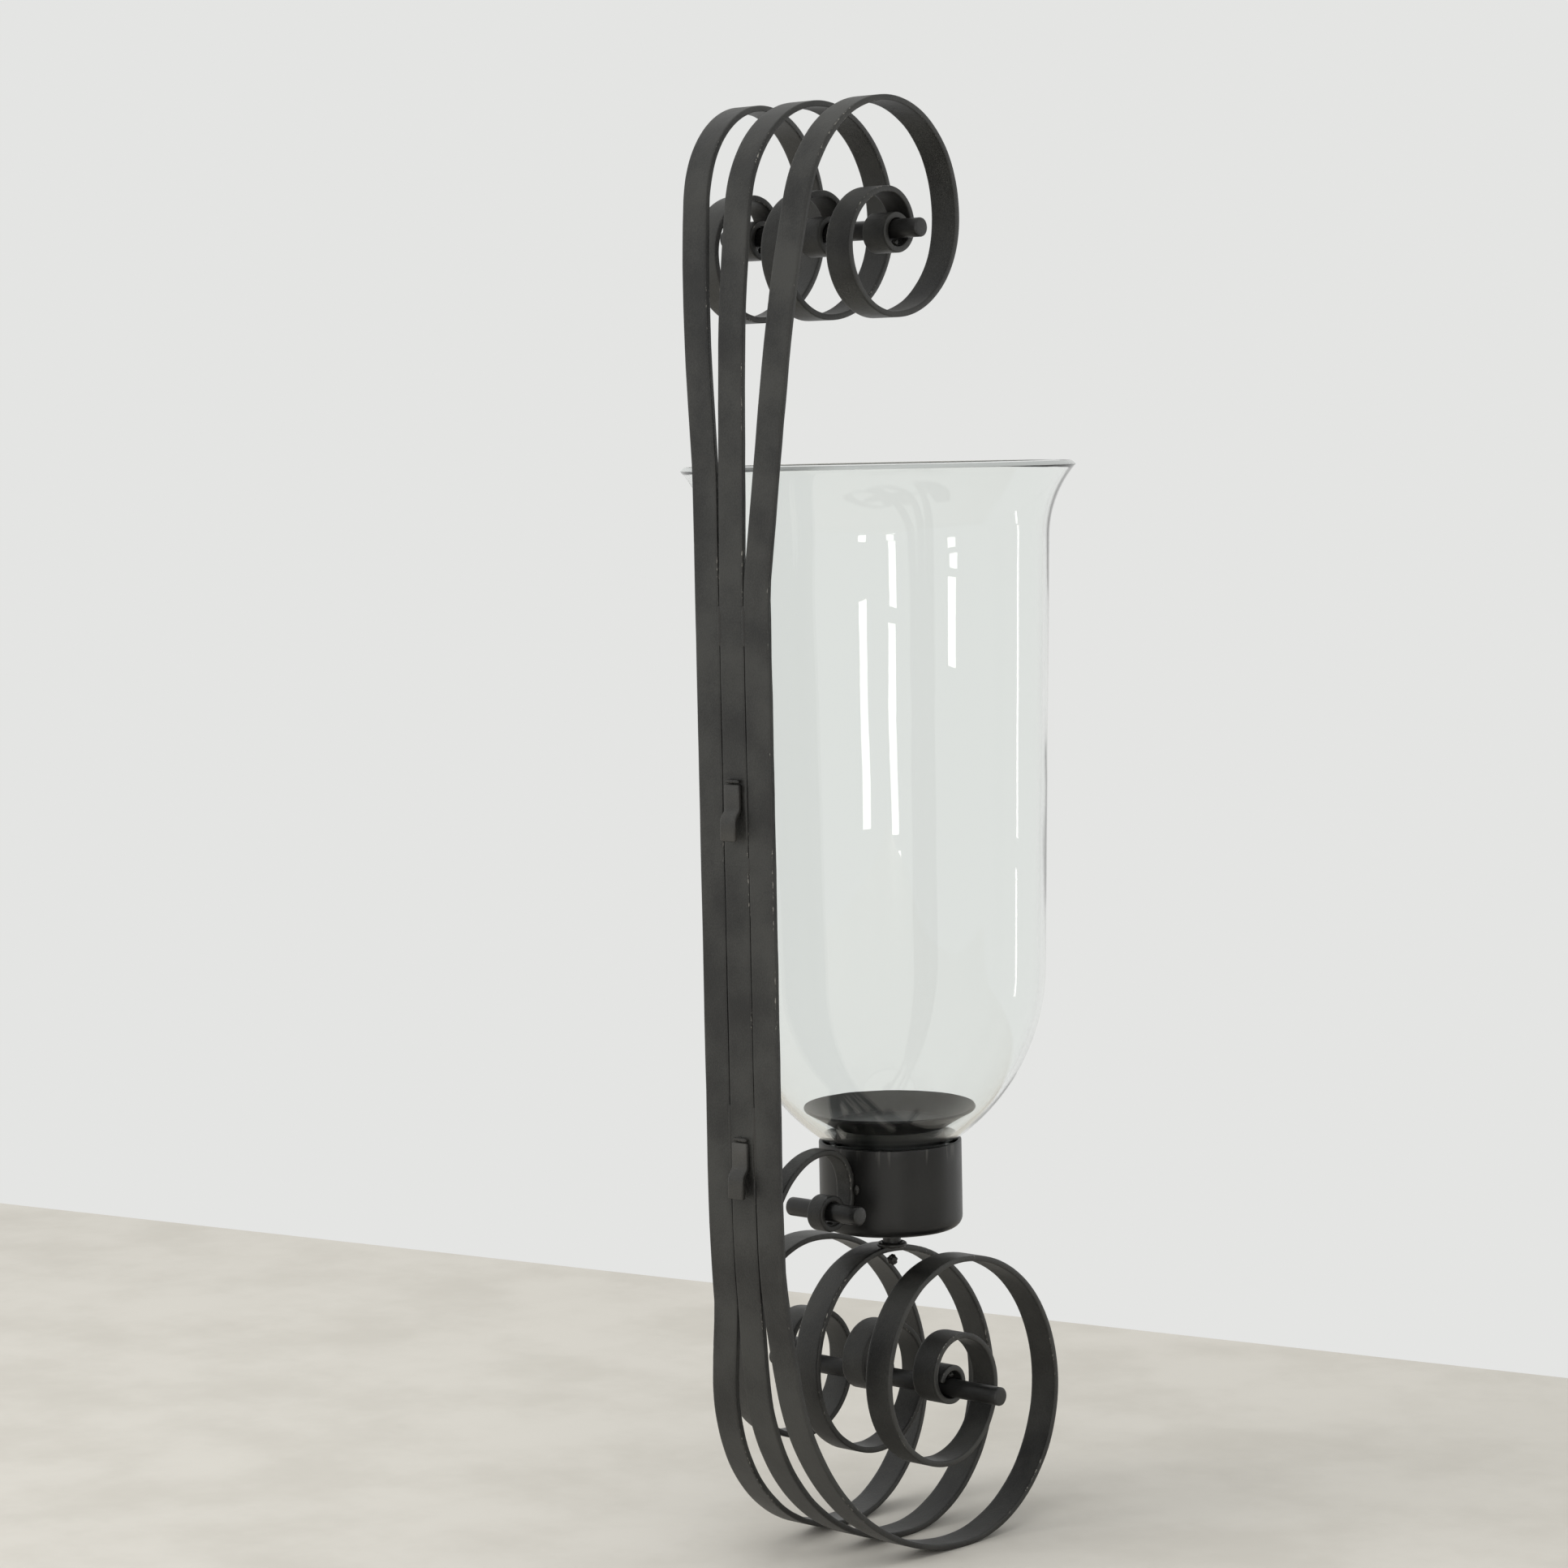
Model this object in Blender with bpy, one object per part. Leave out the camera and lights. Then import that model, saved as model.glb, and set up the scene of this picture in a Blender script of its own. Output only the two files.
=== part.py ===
"""Wrought-iron wall sconce with a glass hurricane shade.

Three flat bars stand side by side, welded at the middle. Above and below the
welds they splay apart, and each end is rolled forward into a scroll that closes
in an eye. A round rod runs through the three upper eyes and another through the
three lower ones. A cup stands on the middle lower scroll, steadied by a small
bracket scroll, and holds the neck of the shade. A candle pan lies in the shade.

Metres, +Z up, width along X. The wall is the plane y = 0 and the sconce stands
out from it toward -Y. The origin is the middle of the flat face with which the
upper hook meets the wall.
"""
import math

import bmesh
import bpy
from mathutils import Matrix, Vector

for leftover in list(bpy.data.objects):
    bpy.data.objects.remove(leftover, do_unlink=True)

# ---------------------------------------------------------------- driving sizes
gap = 0.0003                 # clearance between pieces that touch or are welded

# Flat bars
bar_width = 0.020
bar_thickness = 0.004
bar_eye_width = 0.0185       # the bars are drawn a little narrower toward their eyes
full_width_turns = 3         # quarter turns before that draw begins
rod_radius = 0.006
rod_chamfer = 0.0008
eye_clearance = 0.0025       # between a rod and the inside of an eye
eye_roll = 255               # degrees that an eye is rolled past its scroll

# Scrolls: outer radius of each quarter turn, from the back of the bar inward
top_scroll = (0.0722, 0.0724, 0.0622, 0.0422, 0.0380, 0.0243, 0.0165)
bottom_scroll = (0.1454, 0.0889, 0.1022, 0.0713, 0.0613, 0.0463, 0.0373, 0.0256, 0.0185)
seat_turns = 3               # the cup stands where this many quarter turns end
top_spring = 0.3835          # height at which the upper quarter turns begin
bottom_spring = -0.3470      # and the lower ones
lean_radius = 0.9            # the bars lean forward on this radius up to there
top_lean = 7.1               # degrees
bottom_lean = 8.0

# Splay of each bar, as (height where it starts, offset from the middle of the
# sconce at the first quarter turn, and offset at the eye)
top_splay = {
    "left": (0.220, 0.0296, 0.0597),
    "middle": (0.149, -0.0056, 0.0021),
    "right": (0.149, -0.0532, -0.0515),
}
bottom_splay = {
    "left": (-0.300, 0.0281, 0.0757),
    "middle": (-0.300, 0.0014, 0.0125),
    "right": (-0.277, -0.0257, -0.0473),
}
top_splay_run = 0.231        # length of bar over which the splay dies out
bottom_splay_run = 0.577

# Rods: reach past the right eye and past the left eye
top_rod_overhang = (0.0190, 0.0145)
bottom_rod_overhang = (0.0390, 0.0125)
bracket_rod_overhang = 0.0230

# Hooks at the back
hook_width = 0.0125
hook_thickness = 0.003
hook_slot = 0.0042           # room behind the leg for the wall fixing
hook_plate = 0.014
hook_leg = 0.011
hook_bend_radius = 0.008     # outside of the upper bend
hook_bend = 42               # degrees
hook_spacing = 0.222

# Cup
cup_wall = 0.0025
cup_height = 0.057
cup_corner = 0.0075
neck_clearance = 0.0038      # between the cup and the neck of the shade
post_radius = 0.006
post_height = 0.0130

# Shade
glass_wall = 0.004
neck_radius = 0.0396
neck_above_cup = -0.0061     # where the neck begins to open, from the cup's rim
neck_fillet = 0.008
bowl_radius = 0.136
bowl_angle = 55.35              # degrees from upright, where the neck meets the bowl
body_taper = 1.33            # degrees by which the body opens upward
body_height = 0.2769
flare_radius = 0.0695
flare_angle = 41.5           # degrees at the rim

# Candle pan: a shallow dish on a tube that stands in the cup
pan_wall = 0.0015
pan_rim_radius = 0.056
pan_floor_radius = 0.038
pan_depth = 0.011            # rim above the underside of the dish
pan_above_cup = 0.0100       # underside of the dish above the cup's rim

# Bracket between the middle bar and the cup
bracket_width = 0.0125
bracket_offset = -0.0035     # the bracket stands a little to the right of the middle
bracket_rise = 0.004         # top of the arch above the cup's rim
bracket_front_radius = 0.026
bracket_front_line = 0.006
bracket_low_radius = 0.021
bracket_top_radius = 0.050
bracket_top_angle = 50       # degrees
bracket_foot = 0.008         # straight length welded to the bar
bracket_eye_clearance = 0.0015
bracket_eye_roll = 270       # degrees

# Welds
seam_bead_half_width = 0.0025
seam_bead_height = 0.0015
upper_seam = (0.126, 0.0125)     # middle height and half length
lower_seam = (-0.193, 0.023)
spot_seam = (-0.0205, 0.005)
bead_radius = 0.0015
collar_radius = 0.0018
tack_reach = 0.003

# Facets
arc_step = 11                # degrees
lean_step = 1.6              # degrees, along the slight lean of the bars
turn_steps = 44              # cup, shade and pan
rod_steps = 28
post_steps = 24
lump_steps = (12, 7)
foot_rounds = 12             # settles the height of the bracket's foot

# ---------------------------------------------------------------- derived sizes
pitch = bar_width + gap
bar_back = -(gap + hook_thickness + hook_slot)
bar_front = bar_back - bar_thickness
eye_radius = rod_radius + eye_clearance + bar_thickness
bracket_eye_radius = rod_radius + bracket_eye_clearance + bar_thickness
bar_offset = {"left": pitch, "middle": 0.0, "right": -pitch}

# ---------------------------------------------------------------- materials
def paint(name, colour, roughness, metallic=0.0, transmission=0.0):
    material = bpy.data.materials.new(name)
    material.use_nodes = True
    shader = material.node_tree.nodes["Principled BSDF"]
    shader.inputs["Base Color"].default_value = (*colour, 1.0)
    shader.inputs["Roughness"].default_value = roughness
    shader.inputs["Metallic"].default_value = metallic
    shader.inputs["Transmission Weight"].default_value = transmission
    material.diffuse_color = (*colour, 1.0)
    return material


black = (0.035, 0.035, 0.033)
weld_black = (0.045, 0.043, 0.040)
pan_black = (0.020, 0.020, 0.020)
clear = (0.90, 0.94, 0.93)

# ---------------------------------------------------------------- mesh helpers
def finish(name, mesh, colour, roughness, parent=None, transmission=0.0):
    """Turn a bmesh into a named object with its own material."""
    bmesh.ops.recalc_face_normals(mesh, faces=mesh.faces)
    data = bpy.data.meshes.new(name)
    mesh.to_mesh(data)
    mesh.free()
    data.materials.append(paint(name + "_paint", colour, roughness, 0.0, transmission))
    item = bpy.data.objects.new(name, data)
    bpy.context.collection.objects.link(item)
    if parent is not None:
        item.parent = parent
        item.matrix_parent_inverse = parent.matrix_world.inverted()
    return item


class Trace:
    """A route in a plane, drawn forward from a point with lines and arcs.

    Each station holds the point, the unit heading and the length so far.
    """

    def __init__(self, start, heading_degrees):
        self.point = Vector(start)
        self.heading = math.radians(heading_degrees)
        self.length = 0.0
        self.stations = [self.station()]

    def station(self):
        direction = Vector((math.cos(self.heading), math.sin(self.heading)))
        return (self.point.copy(), direction, self.length)

    def line(self, length):
        direction = Vector((math.cos(self.heading), math.sin(self.heading)))
        self.point += direction * length
        self.length += length
        self.stations.append(self.station())

    def arc(self, radius, degrees, largest_step=arc_step):
        """Turn left for a positive angle, right for a negative one."""
        side = 1 if degrees > 0 else -1
        left = Vector((-math.sin(self.heading), math.cos(self.heading)))
        centre = self.point + left * radius * side
        steps = max(2, math.ceil(abs(degrees) / largest_step))
        start_heading = self.heading
        start_length = self.length
        spoke = self.point - centre
        for step in range(1, steps + 1):
            turn = math.radians(degrees) * step / steps
            self.heading = start_heading + turn
            self.point = centre + Matrix.Rotation(turn, 2) @ spoke
            self.length = start_length + abs(turn) * radius
            self.stations.append(self.station())


def bar(name, stations, offset_at, width_at, thickness, colour, roughness):
    """Sweep a flat bar along stations traced on its outer face.

    The route lies in the y-z plane, the bar's thickness is on the left of its
    heading, and offset_at and width_at give its place and width along x.
    """
    mesh = bmesh.new()
    rings = []
    for index, (point, direction, length) in enumerate(stations):
        left = Vector((-direction.y, direction.x))
        inner = point + left * thickness
        middle = offset_at(index, length)
        half = width_at(index, length) / 2
        rings.append([
            mesh.verts.new((middle - half, point.x, point.y)),
            mesh.verts.new((middle + half, point.x, point.y)),
            mesh.verts.new((middle + half, inner.x, inner.y)),
            mesh.verts.new((middle - half, inner.x, inner.y)),
        ])
    for first, second in zip(rings, rings[1:]):
        for corner in range(4):
            after = (corner + 1) % 4
            mesh.faces.new((first[corner], first[after], second[after], second[corner]))
    mesh.faces.new(rings[0])
    mesh.faces.new(rings[-1])
    return finish(name, mesh, colour, roughness)


def turned(name, outline, place, colour, roughness, parent=None, transmission=0.0,
           axis=(0, 0, 1), scale=(1, 1, 1), steps=turn_steps):
    """Revolve a closed outline of (radius, height) about an axis through place."""
    mesh = bmesh.new()
    columns = []
    for radius, height in outline:
        if radius < 1e-9:
            columns.append([mesh.verts.new((0, 0, height))])
            continue
        columns.append([
            mesh.verts.new((radius * math.cos(2 * math.pi * step / steps),
                            radius * math.sin(2 * math.pi * step / steps), height))
            for step in range(steps)])
    for first, second in zip(columns, columns[1:] + columns[:1]):
        if len(first) == 1 and len(second) == 1:
            continue
        for step in range(steps):
            after = (step + 1) % steps
            corners = [first[step % len(first)], second[step % len(second)],
                       second[after % len(second)], first[after % len(first)]]
            mesh.faces.new(list(dict.fromkeys(corners)))
    turn = Vector((0, 0, 1)).rotation_difference(Vector(axis)).to_matrix().to_4x4()
    bmesh.ops.transform(mesh, matrix=Matrix.Translation(place) @ turn
                        @ Matrix.Diagonal((*scale, 1)), verts=mesh.verts)
    return finish(name, mesh, colour, roughness, parent, transmission)


def rod(name, start_x, end_x, y, z):
    """A round rod along x with a small chamfer at each end."""
    length = end_x - start_x
    outline = [(0, 0), (rod_radius - rod_chamfer, 0), (rod_radius, rod_chamfer),
               (rod_radius, length - rod_chamfer), (rod_radius - rod_chamfer, length),
               (0, length)]
    return turned(name, outline, (start_x, y, z), black, 0.5, axis=(1, 0, 0), steps=rod_steps)


def lump(name, place, radii):
    """A rounded bead of weld."""
    mesh = bmesh.new()
    bmesh.ops.create_uvsphere(mesh, u_segments=lump_steps[0], v_segments=lump_steps[1], radius=1.0)
    bmesh.ops.transform(mesh, matrix=Matrix.Translation(place) @ Matrix.Diagonal((*radii, 1)),
                        verts=mesh.verts)
    return finish(name, mesh, weld_black, 0.6)


def collar(name, inner_radius, radius, place):
    """A ring of weld round a post."""
    middle = inner_radius + gap + radius
    outline = [(middle + radius * math.cos(math.radians(angle)),
                radius * math.sin(math.radians(angle))) for angle in range(0, 360, 45)]
    return turned(name, outline, place, weld_black, 0.6, steps=post_steps)


def seam_bead(name, x, height, half_length):
    """A low bead along the front of a seam between two bars."""
    rise = [(math.cos(math.radians(angle)), math.sin(math.radians(angle)))
            for angle in range(0, 91, 18)]
    outline = [(0, 0)] + [(max(out, 0.0), up) for out, up in rise[:-1]] + [(0, 1)]
    return turned(name, outline, (x, bar_front - gap, height), weld_black, 0.6,
                  axis=(0, -1, 0), steps=post_steps,
                  scale=(seam_bead_half_width, half_length, seam_bead_height))


# ---------------------------------------------------------------- the three bars
def blend(start, slope, end, share):
    """A smooth run from start, leaving with slope, to end, arriving level."""
    square, cube = share * share, share * share * share
    return (start * (2 * cube - 3 * square + 1) + slope * (cube - 2 * square + share)
            + end * (3 * square - 2 * cube))


def offset_along(side, splay, beyond_start, start_to_spring, run):
    """Sideways place of a bar, from the start of its splay to its eye."""
    start = bar_offset[side]
    _, at_spring, at_eye = splay[side]
    slope = (at_spring - start) / start_to_spring
    if beyond_start <= 0:
        return start
    if beyond_start <= start_to_spring:
        return start + slope * beyond_start
    share = min(1.0, (beyond_start - start_to_spring) / run)
    return blend(at_spring, slope * run, at_eye, share)


def width_along(beyond_spring, radii):
    """Full width through the first quarter turns, then an even draw to the eye."""
    run = sum(math.pi / 2 * radius for radius in radii[:full_width_turns])
    whole = sum(math.pi / 2 * radius for radius in radii)
    share = min(1.0, max(0.0, (beyond_spring - run) / (whole - run)))
    return bar_width + (bar_eye_width - bar_width) * share


def end_route(upper):
    """Half of a bar, from the level of the origin to the tip of one eye.

    Gives the trace, the length up to the first quarter turn, and the points where
    the quarter turns end. The lower half is traced upward too.
    """
    radii = top_scroll if upper else bottom_scroll
    spring = top_spring if upper else -bottom_spring
    lean = top_lean if upper else bottom_lean
    trace = Trace((bar_back, 0.0), 90)
    trace.line(spring - lean_radius * math.sin(math.radians(lean)))
    trace.arc(lean_radius, lean, lean_step)
    spring_length = trace.length
    trace.arc(radii[0], 90 - lean)
    turns = [trace.point.copy()]
    for radius in radii[1:]:
        trace.arc(radius, 90)
        turns.append(trace.point.copy())
    trace.arc(eye_radius, eye_roll)
    return trace, spring_length, turns


def split_run(stations, length):
    """Add a station at the given length, between the two on either side of it."""
    after = next(index for index, station in enumerate(stations) if station[2] > length)
    before, beyond = stations[after - 1], stations[after]
    share = (length - before[2]) / (beyond[2] - before[2])
    added = (before[0].lerp(beyond[0], share), before[1].lerp(beyond[1], share).normalized(),
             length)
    return stations[:after] + [added] + stations[after:]


def flat_bar(side):
    upper, upper_spring, _ = end_route(True)
    lower, lower_spring, _ = end_route(False)
    upper_start = top_splay[side][0]
    lower_start = -bottom_splay[side][0]
    upper_stations = split_run(upper.stations, upper_start)
    lower_stations = split_run(lower.stations, lower_start)

    # The lower half is turned over and run backward.
    stations, offsets, widths = [], [], []
    for point, direction, length in reversed(lower_stations[1:]):
        stations.append((Vector((point.x, -point.y)), Vector((-direction.x, direction.y)),
                         length))
        offsets.append(offset_along(side, bottom_splay, length - lower_start,
                                    lower_spring - lower_start, bottom_splay_run))
        widths.append(width_along(length - lower_spring, bottom_scroll))
    for point, direction, length in upper_stations[1:]:
        stations.append((point, direction, length))
        offsets.append(offset_along(side, top_splay, length - upper_start,
                                    upper_spring - upper_start, top_splay_run))
        widths.append(width_along(length - upper_spring, top_scroll))
    return bar("strap_" + side, stations, lambda index, _: offsets[index],
               lambda index, _: widths[index], bar_thickness, black, 0.5)


for side in bar_offset:
    flat_bar(side)


# ---------------------------------------------------------------- eyes and rods
def eye_centre_of(trace, radius):
    """Middle of the eye that closes a route."""
    point, direction, _ = trace.stations[-1]
    return point + Vector((-direction.y, direction.x)) * radius


top_eye = eye_centre_of(end_route(True)[0], eye_radius)
lower_trace, _, lower_turns = end_route(False)
bottom_eye = eye_centre_of(lower_trace, eye_radius)
bottom_eye.y = -bottom_eye.y
rod_seat = eye_clearance - gap       # the rods lie off the middle of the eyes
half_eye = bar_eye_width / 2

rod("top_rod", top_splay["right"][2] - half_eye - top_rod_overhang[0],
    top_splay["left"][2] + half_eye + top_rod_overhang[1], top_eye.x, top_eye.y + rod_seat)
rod("bottom_rod", bottom_splay["right"][2] - half_eye - bottom_rod_overhang[0],
    bottom_splay["left"][2] + half_eye + bottom_rod_overhang[1],
    bottom_eye.x, bottom_eye.y - rod_seat)


def rod_tack(name, x, eye, clearance, side):
    """A tack in the wide side of the gap between a rod and its eye."""
    half_room = clearance - 1.5 * gap
    height = eye.y + side * (rod_radius + gap / 2)
    lump(name, (x + tack_reach, eye.x, height), (tack_reach, half_room, half_room))


for side in bar_offset:
    rod_tack("rod_tack_top_" + side, top_splay[side][2] - half_eye, top_eye,
             eye_clearance, -1)
    rod_tack("rod_tack_bottom_" + side, bottom_splay[side][2] - half_eye, bottom_eye,
             eye_clearance, 1)

# ---------------------------------------------------------------- cup on its post
seat_y = lower_turns[seat_turns - 1].x
seat_z = -lower_turns[seat_turns - 1].y
cup_bottom = seat_z + gap + post_height + gap
cup_top = cup_bottom + cup_height
cup_inner = neck_radius + neck_clearance
cup_outer = cup_inner + cup_wall

cup_trace = Trace((0.0, 0.0), 0)
cup_trace.line(cup_outer - cup_corner)
cup_trace.arc(cup_corner, 90)
cup_trace.line(cup_height - cup_corner)
cup_outside = [tuple(point) for point, _, _ in cup_trace.stations]
cup_inside = [tuple(point + Vector((-direction.y, direction.x)) * cup_wall)
              for point, direction, _ in cup_trace.stations]
turned("cup", cup_outside + cup_inside[::-1], (0, seat_y, cup_bottom), black, 0.35)

turned("cup_post", [(0, 0), (post_radius, 0), (post_radius, post_height), (0, post_height)],
       (0, seat_y, seat_z + gap), black, 0.5, steps=post_steps)
collar("post_weld_lower", post_radius, collar_radius,
       (0, seat_y, seat_z + gap + collar_radius))
collar("post_weld_upper", post_radius, collar_radius,
       (0, seat_y, cup_bottom - gap - collar_radius))
under_weld = 0.004
lump("post_weld_under", (0, seat_y, seat_z - bar_thickness - gap - under_weld),
     (under_weld, under_weld, under_weld))

# ---------------------------------------------------------------- glass shade
shade_pivot = bpy.data.objects.new("shade_pivot", None)
shade_pivot.location = (0, seat_y, cup_bottom + cup_wall + gap)
bpy.context.collection.objects.link(shade_pivot)
bpy.context.view_layer.update()

shade_trace = Trace((neck_radius, cup_bottom + cup_wall + gap), 90)
shade_trace.line(cup_height - cup_wall - gap + neck_above_cup)
shade_trace.arc(neck_fillet, -bowl_angle)
shade_trace.arc(bowl_radius, bowl_angle - body_taper)
shade_trace.line(body_height / math.cos(math.radians(body_taper)))
shade_trace.arc(flare_radius, body_taper - flare_angle)
shade_outside = [point for point, _, _ in shade_trace.stations]
shade_inside = [point + Vector((-direction.y, direction.x)) * glass_wall
                for point, direction, _ in shade_trace.stations]
turned("glass_shade", [tuple(point) for point in shade_outside + shade_inside[::-1]],
       (0, seat_y, 0), clear, 0.02, shade_pivot, 1.0)


# ---------------------------------------------------------------- candle pan
pan_bottom = cup_bottom + cup_wall + gap
pan_underside = cup_top + pan_above_cup
pan_tube_radius = neck_radius - glass_wall - 2 * gap
pan_pivot = bpy.data.objects.new("pan_pivot", None)
pan_pivot.location = (0, seat_y, pan_bottom)
pan_pivot.parent = shade_pivot
pan_pivot.matrix_parent_inverse = shade_pivot.matrix_world.inverted()
bpy.context.collection.objects.link(pan_pivot)
bpy.context.view_layer.update()
pan_outline = [(0, pan_underside), (pan_tube_radius - pan_wall, pan_underside),
               (pan_tube_radius - pan_wall, pan_bottom), (pan_tube_radius, pan_bottom),
               (pan_tube_radius, pan_underside), (pan_floor_radius, pan_underside),
               (pan_rim_radius, pan_underside + pan_depth),
               (pan_rim_radius - pan_wall, pan_underside + pan_depth + pan_wall / 2),
               (pan_floor_radius - pan_wall / 2, pan_underside + pan_wall),
               (0, pan_underside + pan_wall)]
turned("candle_pan", pan_outline, (0, seat_y, 0), pan_black, 0.45, pan_pivot)

# ---------------------------------------------------------------- hooks at the back
def hook(name, middle_height, width):
    """A joggled strip: a plate on the bar, a bend outward and a leg downward."""
    bend = math.radians(hook_bend)
    inner_bend = hook_bend_radius - hook_thickness
    bent = (hook_bend_radius + inner_bend) * (1 - math.cos(bend))
    slope = (hook_slot - bent) / math.sin(bend)
    # Traced downward on the wall side; its thickness is toward the bar.
    trace = Trace((bar_back + gap + hook_thickness, 0.0), -90)
    trace.line(hook_plate)
    trace.arc(inner_bend, hook_bend)
    trace.line(slope)
    trace.arc(hook_bend_radius, -hook_bend)
    trace.line(hook_leg)
    lift = middle_height - hook_leg / 2 - trace.stations[-1][0].y
    stations = [(Vector((point.x, point.y + lift)), -direction, length)
                for point, direction, length in reversed(trace.stations)]
    bar(name, stations, lambda *_: 0.0, lambda *_: width, hook_thickness, black, 0.55)
    return lift


for name, height in (("upper", 0.0), ("lower", -hook_spacing)):
    plate_top = hook("hook_" + name, height, hook_width)
    lump("hook_weld_" + name, (0, bar_back + gap + bead_radius, plate_top + gap + bead_radius),
         (hook_width / 2 - gap, bead_radius, bead_radius))

# ---------------------------------------------------------------- bracket scroll
arch_front = seat_y + cup_outer + gap
arch_y = arch_front + bracket_front_radius
arch_z = cup_top + bracket_rise
lean_top = bottom_spring + lean_radius * math.sin(math.radians(bottom_lean))
turned_back = math.radians(180 - bracket_top_angle)     # heading where the two arcs meet
foot_z = lean_top
for _ in range(foot_rounds):
    # The foot lies along the leaning front of the bar, so its height sets its tilt.
    front_radius = lean_radius - bar_thickness
    tilt = math.asin(max(0.0, lean_top - foot_z) / front_radius)
    foot_y = bar_front - gap - front_radius * (1 - math.cos(tilt))
    across = (foot_y + bracket_foot * math.sin(tilt) - arch_y
              - bracket_top_radius * math.sin(turned_back))
    back_radius = across / (math.cos(tilt) - math.sin(turned_back))
    foot_z = (arch_z - bracket_top_radius * (1 + math.cos(turned_back))
              - bracket_foot * math.cos(tilt)
              - back_radius * (math.sin(tilt) - math.cos(turned_back)))
tilt_degrees = math.degrees(tilt)
bracket_trace = Trace((foot_y, foot_z), 90 - tilt_degrees)
bracket_trace.line(bracket_foot)
bracket_trace.arc(back_radius, 90 - bracket_top_angle + tilt_degrees)
bracket_trace.arc(bracket_top_radius, bracket_top_angle)
bracket_trace.arc(bracket_front_radius, 90)
bracket_trace.line(bracket_front_line)
bracket_trace.arc(bracket_low_radius, 90)
bracket_trace.arc(bracket_eye_radius, bracket_eye_roll)
bar("bracket_scroll", bracket_trace.stations, lambda *_: bracket_offset,
    lambda *_: bracket_width, bar_thickness, black, 0.5)

bracket_eye = eye_centre_of(bracket_trace, bracket_eye_radius)
bracket_right = bracket_offset - bracket_width / 2
bracket_left = bracket_offset + bracket_width / 2
rod("bracket_rod", bracket_right - bracket_rod_overhang, bracket_left + bracket_rod_overhang,
    bracket_eye.x, bracket_eye.y + bracket_eye_clearance - gap)
rod_tack("rod_tack_bracket", bracket_right, bracket_eye, bracket_eye_clearance, -1)
lump("bracket_foot_weld", (bracket_offset, foot_y - bead_radius, foot_z - gap - bead_radius),
     (bracket_width / 2 - gap, bead_radius, bead_radius))
tack_x = bracket_right - gap - collar_radius
tack_y = seat_y + math.sqrt(cup_outer ** 2 - tack_x ** 2) + collar_radius + 2 * gap
lump("bracket_cup_tack", (tack_x, tack_y, arch_z - bracket_front_radius - bracket_front_line / 2),
     (collar_radius, collar_radius, 2 * collar_radius))

# ---------------------------------------------------------------- seam welds
for side, x in (("left", pitch / 2), ("right", -pitch / 2)):
    seam_bead("seam_weld_upper_" + side, x, *upper_seam)
    seam_bead("seam_weld_lower_" + side, x, *lower_seam)
seam_bead("seam_spot_weld", -pitch / 2, *spot_seam)
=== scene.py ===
"""Looks of a wrought-iron wall sconce with a glass hurricane shade.

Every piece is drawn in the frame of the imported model: metres, +Z up, the wall at
y = 0 and the sconce standing out from it toward -Y. The flat bars, rods, hooks and
bracket are drawn again with rolled edges and a hammered surface, the welds with
ripples, and the cup, pan and shade with fine turned profiles.
"""
import math

import bmesh
import bpy
from mathutils import Matrix, Vector, noise


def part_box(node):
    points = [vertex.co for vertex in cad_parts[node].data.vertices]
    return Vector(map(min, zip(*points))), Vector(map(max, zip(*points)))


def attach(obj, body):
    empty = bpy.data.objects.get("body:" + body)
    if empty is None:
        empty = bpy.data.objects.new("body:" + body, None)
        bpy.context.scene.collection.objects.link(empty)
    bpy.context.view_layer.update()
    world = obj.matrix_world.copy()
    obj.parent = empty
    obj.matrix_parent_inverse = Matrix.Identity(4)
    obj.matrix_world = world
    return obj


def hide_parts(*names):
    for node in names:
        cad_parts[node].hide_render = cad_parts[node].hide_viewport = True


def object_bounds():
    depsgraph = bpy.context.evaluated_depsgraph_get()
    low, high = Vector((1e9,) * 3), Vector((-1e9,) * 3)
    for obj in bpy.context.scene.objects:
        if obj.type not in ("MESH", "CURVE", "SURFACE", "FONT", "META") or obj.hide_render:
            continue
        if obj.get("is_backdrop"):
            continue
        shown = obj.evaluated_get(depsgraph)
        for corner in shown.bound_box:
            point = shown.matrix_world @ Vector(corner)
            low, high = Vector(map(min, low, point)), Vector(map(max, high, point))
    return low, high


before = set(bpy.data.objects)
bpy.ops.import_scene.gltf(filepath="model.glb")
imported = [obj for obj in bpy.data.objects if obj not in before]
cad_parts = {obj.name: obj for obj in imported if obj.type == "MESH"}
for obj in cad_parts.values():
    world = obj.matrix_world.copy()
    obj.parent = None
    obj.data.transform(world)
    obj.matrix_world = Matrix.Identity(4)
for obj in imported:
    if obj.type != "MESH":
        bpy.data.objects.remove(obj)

cad_low, cad_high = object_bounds()

# ---------------------------------------------------------------- sizes of the iron
gap = 0.0003
bar_width = 0.020
bar_thickness = 0.004
bar_eye_width = 0.0185
full_width_turns = 3
rod_radius = 0.006
eye_clearance = 0.0025
eye_roll = 255
eye_radius = rod_radius + eye_clearance + bar_thickness
top_scroll = (0.0722, 0.0724, 0.0622, 0.0422, 0.0380, 0.0243, 0.0165)
bottom_scroll = (0.1454, 0.0889, 0.1022, 0.0713, 0.0613, 0.0463, 0.0373, 0.0256, 0.0185)
top_spring = 0.3835
bottom_spring = -0.3470
lean_radius = 0.9
top_lean = 7.1
bottom_lean = 8.0
top_splay = {
    "left": (0.220, 0.0296, 0.0597),
    "middle": (0.149, -0.0056, 0.0021),
    "right": (0.149, -0.0532, -0.0515),
}
bottom_splay = {
    "left": (-0.300, 0.0281, 0.0757),
    "middle": (-0.300, 0.0014, 0.0125),
    "right": (-0.277, -0.0257, -0.0473),
}
top_splay_run = 0.231
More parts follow.
